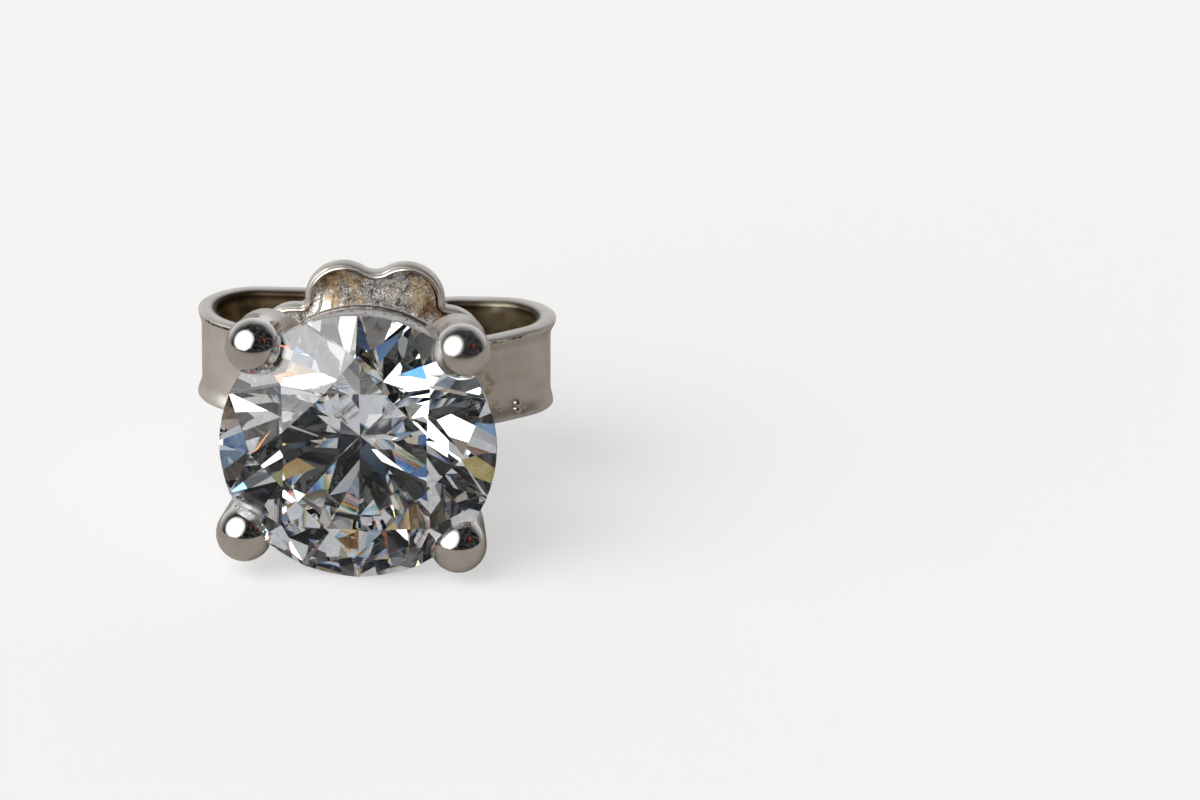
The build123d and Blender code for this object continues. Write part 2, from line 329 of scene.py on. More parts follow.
def claw_setting(material):
    """Claws, ring, pad and post cast as one: their tubes and turned profiles are fused by a voxel remesh,
    the joins are rounded by smoothing, and the stone's seat is cut out. The profiles are (radius, y) points:
    the ring's lip is half a circle, the post's notch half an ellipse and its tip a quarter circle."""
    lip = np.linspace(-math.pi / 2, math.pi / 2, 9)
    ring = [(1.74, 0.95), (1.8, 0.92), (1.98, 0.92), (RING_RADIUS, 0.97), (RING_RADIUS, 1.58)]
    ring += [(RING_RADIUS + RING_LIP * math.cos(a), RING_LIP_Y + RING_LIP * math.sin(a)) for a in lip]
    ring += [(1.78, 1.72), (1.74, 1.68)]
    pad = [(POLE, 2.42), (0.73, 2.42), (0.85, 2.54), (0.85, 2.88), (0.76, 2.98), (0.48, 2.99),
           (POST_RADIUS, 3.03)]
    notch_turn = np.linspace(0, math.pi, 15)
    notch = [(POST_RADIUS - NOTCH_DEPTH * math.sin(a), NOTCH_Y - NOTCH_HALF * math.cos(a))
             for a in notch_turn]
    tip_turn = np.linspace(0, math.pi / 2, 14)
    tip = [(max(POST_RADIUS * math.cos(a), POLE), TIP_START_Y + POST_RADIUS * math.sin(a)) for a in tip_turn]
    shells = [(claw_tube(azimuth, reach), False) for azimuth, reach in zip(CLAW_AZIMUTHS, BALL_REACHES)]
    shells += [(turned(ring, 180), True), (turned(pad + notch + tip, 96), False)]
    made = mesh_object("cast_metal", *closed_shells(shells))
    outwards_facing(made)
    fused = made.modifiers.new("fused", "REMESH")
    fused.mode, fused.voxel_size, fused.use_smooth_shade = "VOXEL", CAST_VOXEL, True
    rounded = made.modifiers.new("rounded", "SMOOTH")
    rounded.factor, rounded.iterations = 0.5, CAST_SMOOTHING
    mesh, points = finished(made, seat_cutter())

    # Polish on the balls, fading along the stems; then the ring's matt band and its thin bright lip
    from_axis = np.hypot(points[:, 0], points[:, 2])
    turns = np.radians(CLAW_AZIMUTHS)
    balls = np.array(BALL_REACHES)[:, None] * np.stack((np.cos(turns), np.sin(turns)), -1)
    middles = np.stack((balls[:, 0], 0 * turns + BALL_Y, balls[:, 1]), -1)
    to_ball = np.linalg.norm(points[:, None] - middles, axis=2)
    polish = 1 - smooth_step(BALL_RADIUS * POLISH_FADE[0], BALL_RADIUS * POLISH_FADE[1], to_ball.min(1))
    polish *= np.array(BALL_POLISH)[to_ball.argmin(1)]
    depth = points[:, 1]
    band = plateau(from_axis, *BAND_RADII) * plateau(depth, *BAND_DEPTHS)
    lip = plateau(from_axis, *LIP_RADII) * plateau(depth, *LIP_DEPTHS) * LIP_SHINE
    return piece("claw_setting_cast", mesh, points, "stud", "claw_setting", material,
                 {"polish": polish, "band": band, "lip": lip})


def lobe_of(x):
    """Middle x, middle z and radius of the lobe on the same side as each x."""
    middle = np.where(x < 0, LEFT_LOBE["x"], RIGHT_LOBE["x"])
    radius = np.where(x < 0, LEFT_LOBE["radius"], RIGHT_LOBE["radius"])
    return middle, LOBE_TOP - radius, radius


def fillets():
    """The outline's fillets above the middle: in the notch between the lobes, and in the corner of each lobe
    with its shoulder. Each is its middle, its radius and the two points where it touches its sides."""
    right = np.array((RIGHT_LOBE["x"], LOBE_TOP - RIGHT_LOBE["radius"]))
    left = np.array((LEFT_LOBE["x"], LOBE_TOP - LEFT_LOBE["radius"]))
    right_radius = RIGHT_LOBE["radius"] + NOTCH_FILLET
    left_radius = LEFT_LOBE["radius"] + NOTCH_FILLET
    apart = np.linalg.norm(left - right)
    way = (left - right) / apart
    run = (right_radius**2 - left_radius**2 + apart**2) / (2 * apart)
    rise = math.sqrt(right_radius**2 - run**2)
    centre = right + way * run + np.array((way[1], -way[0])) * rise
    touches = [centre + (lobe - centre) * NOTCH_FILLET / np.linalg.norm(lobe - centre)
               for lobe in (left, right)]
    found = [(centre, NOTCH_FILLET, touches[0], touches[1])]
    for lobe in (LEFT_LOBE, RIGHT_LOBE):
        side = math.copysign(1, lobe["x"])
        middle_x = abs(lobe["x"]) + lobe["radius"] + SHOULDER_FILLET
        reach = SHOULDER_RADIUS + SHOULDER_FILLET
        middle = np.array((middle_x, SHOULDER_Z + math.sqrt(reach**2 - (SHOULDER_X - middle_x) ** 2)))
        shoulder = np.array((SHOULDER_X, SHOULDER_Z))
        on_lobe = middle - (SHOULDER_FILLET, 0)
        on_shoulder = middle + (shoulder - middle) * SHOULDER_FILLET / reach
        flip = np.array((side, 1))
        found.append((middle * flip, SHOULDER_FILLET, on_lobe * flip, on_shoulder * flip))
    return found


def outline_depth(x, z):
    """How far inside the plate's front outline a point lies: the greatest of its depths in the lobes, the
    shoulders and the band, or in the wedge between a fillet's two touches, its distance past the fillet."""
    lobe_x, lobe_z, lobe_radius = lobe_of(x)
    z = np.abs(z)
    lobe = np.where(z < lobe_z, np.abs(lobe_x) + lobe_radius - np.abs(x),
                    lobe_radius - np.hypot(x - lobe_x, z - lobe_z))
    band = STRIP_HALF_HEIGHT - z
    shoulder = np.where(z < SHOULDER_Z, SHOULDER_X + SHOULDER_RADIUS - np.abs(x),
                        SHOULDER_RADIUS - np.hypot(np.abs(x) - SHOULDER_X, z - SHOULDER_Z))
    depth = np.maximum(np.maximum(band, shoulder), lobe)
    for middle, radius, one, other in fillets():
        to_x, to_z = x - middle[0], z - middle[1]
        past_one = to_x * (one[1] - middle[1]) - to_z * (one[0] - middle[0])
        past_other = to_x * (other[1] - middle[1]) - to_z * (other[0] - middle[0])
        ahead = one + other - 2 * middle
        between = (past_one * past_other < 0) & (to_x * ahead[0] + to_z * ahead[1] > 0)
        near_enough = np.hypot(to_x, to_z) < radius + FILLET_REACH
        depth = np.where(between & near_enough, np.hypot(to_x, to_z) - radius, depth)
    return depth


def outline_top(x):
    """Half height of the front outline at each x: notch, lobe, shoulder, then the plain band."""
    lobe_x, lobe_z, lobe_radius = lobe_of(x)
    lobe = lobe_z + np.sqrt(np.clip(lobe_radius**2 - (x - lobe_x) ** 2, 0, None))
    shoulder = SHOULDER_Z + np.sqrt(np.clip(SHOULDER_RADIUS**2 - (np.abs(x) - SHOULDER_X) ** 2, 0, None))
    top = np.where(np.abs(x) < SHOULDER_X + SHOULDER_RADIUS, shoulder, STRIP_HALF_HEIGHT)
    top = np.where(np.abs(x) < np.abs(lobe_x) + lobe_radius, lobe, top)
    for middle, radius, one, other in fillets():
        low, high = sorted((one[0], other[0]))
        arc = middle[1] - np.sqrt(np.clip(radius**2 - (x - middle[0]) ** 2, 0, None))
        top = np.where((x > low) & (x < high), arc, top)
    return top


def strip_side(scroll):
    """One side of the strip's middle line, from the plate's middle to the scroll's end: run, x, y and
    heading. The heading stays on a straight and grows evenly on an arc; x and y sum its cosine and sine."""
    arm_width = scroll["arm_radius"] * math.sin(ARM_TURN) + ARM_RUN * math.cos(ARM_TURN)
    outer_radius = (scroll["reach"] - PLATE_FLAT_HALF - arm_width) / (1 - math.sin(ARM_TURN))
    grip_x = POST_RADIUS + GRIP_GAP + SHEET / 2
    back_width = BACK_RADIUS * math.sin(BACK_TURN) + GRIP_RADIUS * (1 - math.sin(BACK_TURN))
    back_run = scroll["reach"] - scroll["corner_radius"] - back_width - grip_x
    quarter = math.pi / 2
    lengths = (PLATE_FLAT_HALF, scroll["arm_radius"] * ARM_TURN, ARM_RUN,
               outer_radius * (quarter - ARM_TURN), scroll["corner_radius"] * quarter, back_run,
               BACK_RADIUS * BACK_TURN, GRIP_RADIUS * (quarter - BACK_TURN), scroll["grip_run"],
               CURL_RADIUS * CURL_TURN)
    turns = (0, ARM_TURN, 0, quarter - ARM_TURN, quarter, 0, BACK_TURN, quarter - BACK_TURN, 0, CURL_TURN)
    stations = np.concatenate(((0,), np.cumsum(lengths)))
    headings = np.concatenate(((0,), np.cumsum(turns)))
    fine_steps = 20000
    fine = np.linspace(0, stations[-1], fine_steps + 1)
    middle = (fine[1:] + fine[:-1]) / 2
    heading = np.interp(middle, stations, headings)
    step = fine[1] - fine[0]
    x = np.concatenate(((0,), np.cumsum(np.cos(heading)) * step))
    y = np.concatenate(((0,), np.cumsum(np.sin(heading)) * step))

    # Columns lie closer together on the front, and crowd where a lobe and a shoulder end in an upright side
    lobe_end = abs(scroll["lobe"]["x"]) + scroll["lobe"]["radius"]
    outbound = slice(0, fine_steps // 4)  # x still grows here, so the run can be looked up by it
    shoulder_end = np.interp(SHOULDER_X + SHOULDER_RADIUS, x[outbound], fine[outbound])
    run = np.concatenate((np.arange(0, FINE_RUN, FINE_STEP), np.arange(FINE_RUN, stations[-1], COARSE_STEP),
                          (stations[-1],), lobe_end + np.array(CROWD), shoulder_end + np.array(CROWD)))
    run = np.unique(np.round(run, 4))
    run = run[np.concatenate(((True,), np.diff(run) > LEAST_STEP))]
    at = [np.interp(run, fine, values) for values in (x, y)]
    return run, at[0] * scroll["side"], PLATE_MIDDLE_Y + at[1], np.interp(run, stations, headings)


def butterfly_back(material):
    """The bent strip as one closed grid: columns follow the strip, and each goes up the outer face, over the
    rounded lip, down the inner face and back under the lower lip. Offsets from the middle line depend on the
    distance to the outline: a raised rim on the plate, a flare on the loops, and round lips. The plate
    bulges round the hole, with a flat seat inside. Two solder beads are spheres of their own."""
    one_side, other_side = strip_side(LEFT_SCROLL), strip_side(RIGHT_SCROLL)
    run, x, y, heading = (np.concatenate((sign * one[:0:-1], other))
                          for sign, one, other in zip((-1, 1, 1, -1), one_side, other_side))
    normal = np.stack((np.sin(heading), -np.cos(heading)), -1)
    outbound = slice(0, 90)  # x still grows here
    front = np.abs(run) < np.interp(FRONT_HALF, other_side[1][outbound], other_side[0][outbound])
    top = np.where(front, outline_top(x), STRIP_HALF_HEIGHT)

    # Levels up each column: close together over the lip and the rim, then evenly spaced to the middle
    lip = LIP_ROUND * (1 - np.cos(np.linspace(0, math.pi / 2, 9)))
    near_edge = np.concatenate((lip, RIM_LEVELS))
    rest = np.linspace(0, 1, 19)[1:-1]
    z_edge = top[:, None] - near_edge
    z_rest = z_edge[:, -1:] * (1 - rest)
    z_half = np.concatenate((z_edge, z_rest, 0 * top[:, None]), 1)
    z = np.concatenate((-z_half, z_half[:, -2::-1]), 1)
    columns, levels = z.shape
    plan_depth = np.where(front[:, None], outline_depth(x[:, None] + 0 * z, z),
                          STRIP_HALF_HEIGHT - np.abs(z))
    depth = np.clip(plan_depth, 0, None)
    to_end = np.minimum(run - run[0], run[-1] - run)[:, None]
    depth = np.minimum(depth, to_end)

    # Offsets of both faces from the middle line
    plate = 1 - smooth_step(*PLATE_END, np.abs(run))[:, None]
    rim = 1 - smooth_step(*RIM_FALL, depth)
    upper = smooth_step(-BLEND, BLEND, z)
    right = smooth_step(-BLEND, BLEND, run)[:, None]
    width = {name: ends["top"] * upper + ends["bottom"] * (1 - upper) for name, ends in FLARES.items()}
    flare = (width["right"] * right + width["left"] * (1 - right)) * (1 - smooth_step(*FLARE_FALL, depth))
    from_hole = np.hypot(x[:, None], z)
    boss = smooth_step(BOSS_SEAT, BOSS_INNER, from_hole) - smooth_step(BOSS_INNER, BOSS_OUTER, from_hole)
    raised = plate * (RIM_RAISE * rim + (1 - rim) * BOSS_RAISE * boss) + (1 - plate) * flare
    outer_round, inner_round = (np.sqrt(np.clip(1 - (1 - np.clip(depth / size, 0, 1)) ** 2, 0, 1))
                                for size in (OUTER_LIP_ROUND, LIP_ROUND))
    middle = RIM_RAISE / 2
    outer = middle + (SHEET / 2 + raised - middle) * outer_round
    inner = middle - (SHEET / 2 + middle) * inner_round
    spot = np.stack((x, y), -1)
    outer_points, inner_points = (
        np.concatenate((spot[:, None] + normal[:, None] * offset[..., None], z[..., None]), -1)
        for offset in (outer, inner))
    loop = np.concatenate((outer_points, inner_points[:, -2:0:-1]), 1)
    around = loop.shape[1]
    faces = grid_quads(columns, around, 0, False, True).tolist()
    out_row = np.arange(levels)
    in_row = np.concatenate(((0,), np.arange(around - 1, levels - 1, -1), (levels - 1,)))
    cap = np.stack((out_row[:-1], out_row[1:], in_row[1:], in_row[:-1]), -1)
    last = (columns - 1) * around
    faces += [list(dict.fromkeys(face)) for end in (cap, last + cap[:, ::-1]) for face in end.tolist()]

    # The beads' half circles, each turned about its own middle
    half_turn = np.linspace(0, math.pi, 15)
    half_circle = np.stack((np.sin(half_turn).clip(0.01), -np.cos(half_turn)), -1)
    beads = [turned(size * half_circle, 28) + spot for spot, size in BEADS]
    bead_points, bead_faces = closed_shells([(bead, False) for bead in beads], columns * around)
    made = mesh_object("strip", np.concatenate((loop.reshape(-1, 3), bead_points)), faces + bead_faces)

    def looped(values):
        """A value for each point of both faces, in the order of the closed loop."""
        return np.concatenate((values, values[:, -2:0:-1]), 1).ravel().astype(np.float32)

    # What the material reads at each point: mm from the outline, the plate, the inner face, the rim's shaded
    # side, where shade is painted, the creases, where dark lines of painted shade go, and the beads
    is_inner = np.concatenate((0 * z, 0 * z[:, -2:0:-1] + 1), 1).ravel()
    values = {"edge": looped(plan_depth.clip(0, 1)), "plate": looped(plate + 0 * z), "inner": is_inner}
    inwards = outline_depth(x[:, None] + SLOPE_STEP, z) - outline_depth(x[:, None] - SLOPE_STEP, z)
    inwards = inwards / (2 * SLOPE_STEP)
    values["shade"] = looped(front[:, None] * (1 - smooth_step(-0.2, 0.15, inwards)))
    in_crease = np.abs(plan_depth - CREASE_DEPTH) < CREASE_HALF_WIDTH
    reach = [(run > start) & (run < end) for start, end in CREASES.values()]
    values["crease"] = looped(1.0 * (in_crease & (z > 0) & (reach[0] | reach[1])[:, None])) * (1 - is_inner)
    values["bead"] = 0 * is_inner
    for key, value in values.items():
        on_beads = np.full(len(bead_points), 1.0 if key in ("bead", "edge") else 0.0)
        value = np.concatenate((value, on_beads)).astype(np.float32)
        made.data.attributes.new(key, "FLOAT", "POINT").data.foreach_set("value", value)
    outwards_facing(made)
    bore_half = 1
    bore = turned([(HOLE_RADIUS, PLATE_MIDDLE_Y + side * bore_half) for side in (-1, 1)], 96)
    cutter = mesh_object("bore_cutter", *closed_shells([(bore, False)]))
    outwards_facing(cutter)
    mesh, points = finished(made, cutter)
    return piece("butterfly_back_strip", mesh, points, "back", "butterfly_back", material, {})


# ---- materials ----

def paint(code):
    """Linear colour of an sRGB hex code."""
    part = np.array([int(code[i:i + 2], 16) / 255 for i in (1, 3, 5)])
    linear = np.where(part <= 0.04045, part / 12.92, ((part + 0.055) / 1.055) ** 2.4)
    return (*linear.tolist(), 1.0)


def add(tree, kind, settings=(), inputs=()):
    """Add a shader node. Settings go on the node itself. An input is named, or numbered where names repeat,
    and gets a value, another node's output, or a node, which stands for the first of its outputs in use."""
    made = tree.nodes.new("ShaderNode" + kind)
    for key, value in dict(settings).items():
        setattr(made, key, value)
    for key, value in dict(inputs).items():
        named = {socket.name: socket for socket in reversed(made.inputs) if socket.enabled}
        socket = made.inputs[key] if isinstance(key, int) else named[key]
        if isinstance(value, bpy.types.Node):
            value = next(output for output in value.outputs if output.enabled)
        if isinstance(value, bpy.types.NodeSocket):
            tree.links.new(value, socket)
        else:
            socket.default_value = value
    return made


# Settings that many nodes share. A pattern with a scale of 24 / MM has 24 cells to a millimetre
SMOOTH = {"interpolation_type": "SMOOTHSTEP"}
COLORS = {"data_type": "RGBA"}
NUMBERS = {"data_type": "FLOAT"}
TIMES = {"operation": "MULTIPLY"}
TIMES_PLUS = {"operation": "MULTIPLY_ADD"}
LARGER = {"operation": "MAXIMUM"}
WITHIN = {"operation": "COMPARE"}
DOT = {"operation": "DOT_PRODUCT"}


def new_material(name):
    """An empty node material and its tree."""
    material = bpy.data.materials.new(name)
    material.use_nodes = True
    material.node_tree.nodes.clear()
    return material, material.node_tree


# Cubic zirconia's index of refraction, and those of its red, green and blue light with their tints, which
# add up to white
ZIRCONIA_IOR = 2.17
FIRE = ((2.162, (0.6, 0.22, 0.04, 1)), (ZIRCONIA_IOR, (0.3, 0.5, 0.24, 1)), (2.184, (0.1, 0.28, 0.72, 1)))


def cubic_zirconia():
    """Cubic zirconia, cut and polished: flat mirror facets over clear matter that bends light strongly.
    Light enters it as it enters glass. It leaves in three tinted parts with slightly different bends, so
    that colour shows close to the critical angle alone, and the facet mirrors the rest back inside."""
    material, tree = new_material("cubic_zirconia_cut_polished")
    entering = add(tree, "BsdfGlass", {}, {"IOR": ZIRCONIA_IOR, "Roughness": 0.0, "Color": (1, 1, 1, 1)})
    red, green, blue = (add(tree, "BsdfRefraction", {}, {"IOR": ior, "Roughness": 0.0, "Color": tint})
                        for ior, tint in FIRE)
    warm = add(tree, "AddShader", {}, {0: red, 1: green})
    split = add(tree, "AddShader", {}, {0: warm, 1: blue})
    mirror = add(tree, "BsdfAnisotropic", {}, {"Roughness": 0.0, "Color": (1, 1, 1, 1)})
    share = add(tree, "Fresnel", {}, {"IOR": ZIRCONIA_IOR})
    leaving = add(tree, "MixShader", {}, {0: share, 1: split, 2: mirror})
    inside = add(tree, "NewGeometry").outputs["Backfacing"]
    glass = add(tree, "MixShader", {}, {0: inside, 1: entering, 2: leaving})
    add(tree, "OutputMaterial", {}, {"Surface": glass})
    return material


def near(tree, at, spot, inner, outer):
    """1 within the inner distance of a spot, in the stud's own mm, and smoothly down to 0 at the outer."""
    away = add(tree, "VectorMath", {"operation": "DISTANCE"}, {0: at, 1: tuple(placed(spot))})
    return add(tree, "MapRange", SMOOTH,
               {"Value": away, "From Min": inner * MM, "From Max": outer * MM,
                "To Min": 1.0, "To Max": 0.0})


def cast_silver():
    """Silver cast in one piece and rhodium plated: balls polished by hand that mirror the room with a slight
    waver, satin stems, a matt cast skin on the ring's band with pits painted nearly black as shade, and a
    thin bright lip."""
    material, tree = new_material("rhodium_plated_cast_silver")
    at = add(tree, "TexCoord").outputs["Object"]
    polish, band, lip = (add(tree, "Attribute", {"attribute_name": name}).outputs["Fac"]
                         for name in ("polish", "band", "lip"))

    # Roughness: satin from the polishing drum, mirror on the balls and the lip, matt on the cast skin. The
    # grain is drawn coarser than the real one, so that it shows
    grain = add(tree, "TexNoise", {}, {"Vector": at, "Scale": 24 / MM, "Detail": 4.0})
    shine = add(tree, "Math", LARGER, {0: polish, 1: lip})
    satin = add(tree, "MapRange", {}, {"Value": shine, "To Min": 0.36, "To Max": 0.045})
    matt = add(tree, "Mix", NUMBERS, {"Factor": band, "A": satin, "B": 0.42})
    uneven = add(tree, "Math", TIMES_PLUS, {0: grain, 1: 0.05, 2: matt})
    rough = add(tree, "Math", {"operation": "SUBTRACT"}, {0: uneven, 1: 0.025})

    # Colour: rhodium's cool white over silver, greyer on the cast skin, and painted shade, nearly black, in
    # its pits
    cloud = add(tree, "TexNoise", {}, {"Vector": at, "Scale": 3.2 / MM, "Detail": 3.0})
    worn = add(tree, "MapRange", {},
               {"Value": cloud, "From Min": 0.45, "From Max": 0.75, "To Min": 0.0, "To Max": 0.45})
    plated = add(tree, "Mix", COLORS, {"Factor": worn, "A": paint("#EAE6E2"), "B": paint("#D2C9BF")})
    skin = add(tree, "Mix", COLORS, {"Factor": band, "A": plated, "B": paint("#ECE9E6")})
    pit_noise = add(tree, "TexNoise", {},
                    {"Vector": at, "Scale": 8.5 / MM, "Detail": 5.0, "Roughness": 0.65})
    pitted = add(tree, "MapRange", SMOOTH, {"Value": pit_noise, "From Min": 0.56, "From Max": 0.64})
    shaded_pits = add(tree, "Math", TIMES, {0: pitted, 1: band})
    for spot, size in SOLDER_PITS:
        hole = near(tree, at, spot, 0.3 * size, size)
        shaded_pits = add(tree, "Math", LARGER, {0: shaded_pits, 1: hole})
    rosy = add(tree, "Mix", COLORS, {"Factor": lip, "A": skin, "B": paint("#F6D8CC")})
    # Painted shade, nearly black, in the pits
    color = add(tree, "Mix", COLORS, {"Factor": shaded_pits, "A": rosy, "B": paint("#4A423C")})

    # Relief: slow waves left by the hand on the balls, grain on the satin, pits in the cast skin
    wave = add(tree, "TexNoise", {}, {"Vector": at, "Scale": 3 / MM, "Detail": 1.0})
    waves = add(tree, "Bump", {}, {"Height": wave, "Strength": 1.0, "Distance": 0.0022 * MM})
    coarse = add(tree, "MapRange", {}, {"Value": shine, "To Min": 0.5, "To Max": 0.02})
    grained = add(tree, "Bump", {},
                  {"Height": grain, "Strength": coarse, "Distance": 0.003 * MM, "Normal": waves})
    sunk = add(tree, "Bump", {"invert": True},
               {"Height": shaded_pits, "Strength": 0.8, "Distance": 0.03 * MM, "Normal": grained})
    metal = add(tree, "BsdfPrincipled", {},
                {"Base Color": color, "Metallic": 1.0, "Roughness": rough, "Normal": sunk})
    add(tree, "OutputMaterial", {}, {"Surface": metal})
    return material


def strip_silver():
    """Silver sheet, stamped, bent and rhodium plated: satin outside, with a burnished rim, painted shade in
    the corner inside it and on its shaded side, and dark lines of painted shade along creases under the top
    lips; olive tarnish in the loops, with painted shade nearly black under their lips and a painted golden
    highlight in one; and a face crumpled and scratched by use, with painted shade in its folds and caked
    brown dirt that covers part of the metal."""
    material, tree = new_material("rhodium_plated_silver_sheet")
    at = add(tree, "TexCoord").outputs["Object"]
    inner, edge, plate, shade, crease, bead = (
        add(tree, "Attribute", {"attribute_name": name}).outputs["Fac"]
        for name in ("inner", "edge", "plate", "shade", "crease", "bead"))
    cloud = add(tree, "TexNoise", {}, {"Vector": at, "Scale": 2.1 / MM, "Detail": 5.0, "Roughness": 0.6})
    speck = add(tree, "TexNoise", {}, {"Vector": at, "Scale": 11 / MM, "Detail": 5.0, "Roughness": 0.65})
    drawn = add(tree, "VectorMath", TIMES, {0: at, 1: (1.0, 1.0, 0.12)})
    streak = add(tree, "TexNoise", {}, {"Vector": drawn, "Scale": 9 / MM, "Detail": 3.0})

    # Where things are, by mm from the edge: the stamped face, its rim's crest and corner, the loops' hollows
    past_rim = add(tree, "MapRange", SMOOTH, {"Value": edge, "From Min": 0.14, "From Max": 0.18})
    outer = add(tree, "Math", {"operation": "SUBTRACT"}, {0: 1.0, 1: inner})
    front = add(tree, "Math", TIMES, {0: plate, 1: outer})
    face = add(tree, "Math", TIMES, {0: front, 1: past_rim})
    to_crest = add(tree, "Math", WITHIN, {0: edge, 1: 0.1, 2: 0.022})
    crest = add(tree, "Math", TIMES, {0: to_crest, 1: front})
    # The corner inside the plate's rim, where a line of painted shade goes
    in_corner = add(tree, "Math", WITHIN, {0: edge, 1: 0.14, 2: 0.024})
    dashes = add(tree, "MapRange", {}, {"Value": speck, "From Min": 0.53, "From Max": 0.58})
    shade_and_dashes = add(tree, "Math", LARGER, {0: dashes, 1: shade})
    corner = add(tree, "Math", TIMES, {0: in_corner, 1: front})
    painted_corner_shade = add(tree, "Math", TIMES, {0: corner, 1: shade_and_dashes})
    off_lip = add(tree, "MapRange", SMOOTH, {"Value": edge, "From Min": 0.0, "From Max": 0.03})
    hollow = add(tree, "Math", TIMES, {0: inner, 1: off_lip})

    # Colour: warm white rhodium, worn in clouds; brown stains in both lobes; painted shade in the face's
    # folds, in the rim's corner and along its creases; olive and brown tarnish inside, with painted shade
    # under the lips and a painted golden highlight
    worn = add(tree, "MapRange", {},
               {"Value": cloud, "From Min": 0.4, "From Max": 0.7, "To Min": 0.0, "To Max": 0.6})
    plated = add(tree, "Mix", COLORS, {"Factor": worn, "A": paint("#FAF5F0"), "B": paint("#DCD3C3")})
    wander = add(tree, "TexNoise", {}, {"Vector": at, "Scale": 3 / MM, "Detail": 4.0}).outputs["Color"]
    strayed = add(tree, "VectorMath", TIMES_PLUS, {0: wander, 1: (1.1 * MM,) * 3, 2: at})
    left_stain, right_stain = (near(tree, strayed, *stain) for stain in STAINS)
    stained = add(tree, "Math", {"use_clamp": True}, {0: left_stain, 1: right_stain})
    blotch = add(tree, "TexNoise", {}, {"Vector": at, "Scale": 3.6 / MM, "Detail": 5.0, "Roughness": 0.7})
    patchy = add(tree, "MapRange", SMOOTH, {"Value": blotch, "From Min": 0.34, "From Max": 0.48})
    dirt = add(tree, "Math", TIMES, {0: stained, 1: patchy})
    stain = add(tree, "Math", TIMES, {0: dirt, 1: face})
    caked = add(tree, "MapRange", {}, {"Value": cloud, "From Min": 0.4, "From Max": 0.56})
    brown = add(tree, "Mix", COLORS, {"Factor": caked, "A": paint("#FFE4B6"), "B": paint("#94622F")})
    crumple = add(tree, "TexNoise", {},
                  {"Vector": at, "Scale": 6.5 / MM, "Detail": 5.0, "Roughness": 0.66, "Distortion": 0.7})
    # Painted shade in the face's folds, where the crumple pattern is low, with less of it on the rubbed spot
    fold = add(tree, "MapRange", {}, {"Value": crumple, "From Min": 0.48, "From Max": 0.38, "To Max": 0.85})
    smooth_patch = near(tree, at, WORN_SPOT, 0.15, 0.5)
    rubbed = add(tree, "Math", TIMES_PLUS, {0: smooth_patch, 1: -0.85, 2: 1.0})
    crumpled = add(tree, "Math", TIMES, {0: rubbed, 1: face})
    folded = add(tree, "Math", TIMES, {0: fold, 1: crumpled})
    shaded = add(tree, "Mix", COLORS, {"Factor": folded, "A": plated, "B": paint("#525252")})
    faced = add(tree, "Mix", COLORS, {"Factor": stain, "A": shaded, "B": brown})
    # Painted shade: a nearly black line in the rim's corner, in dashes, and unbroken on the rim's shaded
    # side
    lined = add(tree, "Mix", COLORS, {"Factor": painted_corner_shade, "A": faced, "B": paint("#1A1511")})
    warmed = add(tree, "Mix", COLORS, {"Factor": crest, "A": lined, "B": paint("#FFF0E6")})
    # Painted shade: broken dark lines along the creases under the loops' top lips
    broken = add(tree, "MapRange", {}, {"Value": speck, "From Min": 0.44, "From Max": 0.52})
    painted_crease_shade = add(tree, "Math", TIMES, {0: crease, 1: broken})
    edged = add(tree, "Mix", COLORS, {"Factor": painted_crease_shade, "A": warmed, "B": paint("#54463A")})
    for spot, size in DRIPS:
        drip = near(tree, at, spot, 0.2 * size, size)
        smear = add(tree, "Math", TIMES, {0: drip, 1: broken})
        edged = add(tree, "Mix", COLORS, {"Factor": smear, "A": edged, "B": paint("#D3C4AA")})
    mottled = add(tree, "MapRange", {}, {"Value": cloud, "From Min": 0.38, "From Max": 0.62})
    olive = add(tree, "Mix", COLORS, {"Factor": mottled, "A": paint("#C9B490"), "B": paint("#75674F")})
    # A painted golden highlight in one loop's hollow
    painted_golden_highlight = near(tree, at, PAINTED_HIGHLIGHT_SPOT, 0.05, 0.5)
    # Painted shade, nearly black, just under the loops' lips
    under_lip = add(tree, "MapRange", SMOOTH,
                    {"Value": edge, "From Min": 0.24, "From Max": 0.1, "To Max": 0.85})
    painted_shade_under_lip = add(tree, "Mix", COLORS, {"Factor": under_lip, "A": olive, "B": paint("#30261B")})
    with_painted_highlight = add(tree, "Mix", COLORS, {"Factor": painted_golden_highlight, "A": painted_shade_under_lip, "B": paint("#FFF3D6")})
    color = add(tree, "Mix", COLORS, {"Factor": hollow, "A": edged, "B": with_painted_highlight})

    # Roughness: satin sheet, burnished crest, dull stains
    satin = add(tree, "Math", TIMES_PLUS, {0: streak, 1: 0.08, 2: 0.4})
    faced_rough = add(tree, "Mix", NUMBERS, {"Factor": face, "A": satin, "B": 0.17})
    dull = add(tree, "Mix", NUMBERS, {"Factor": stain, "A": faced_rough, "B": 0.4})
    dull = add(tree, "Mix", NUMBERS, {"Factor": hollow, "A": dull, "B": 0.5})
    bright_spot = near(tree, at, PAINTED_HIGHLIGHT_SPOT, 0.05, 0.3)
    gleam = add(tree, "Math", TIMES, {0: bright_spot, 1: hollow})
    dull = add(tree, "Mix", NUMBERS, {"Factor": gleam, "A": dull, "B": 0.3})
    burnished = add(tree, "Math", LARGER, {0: crest, 1: crease})
    worn_rough = add(tree, "Mix", NUMBERS, {"Factor": burnished, "A": dull, "B": 0.1})
    rough = add(tree, "Mix", NUMBERS, {"Factor": bead, "A": worn_rough, "B": 0.22})

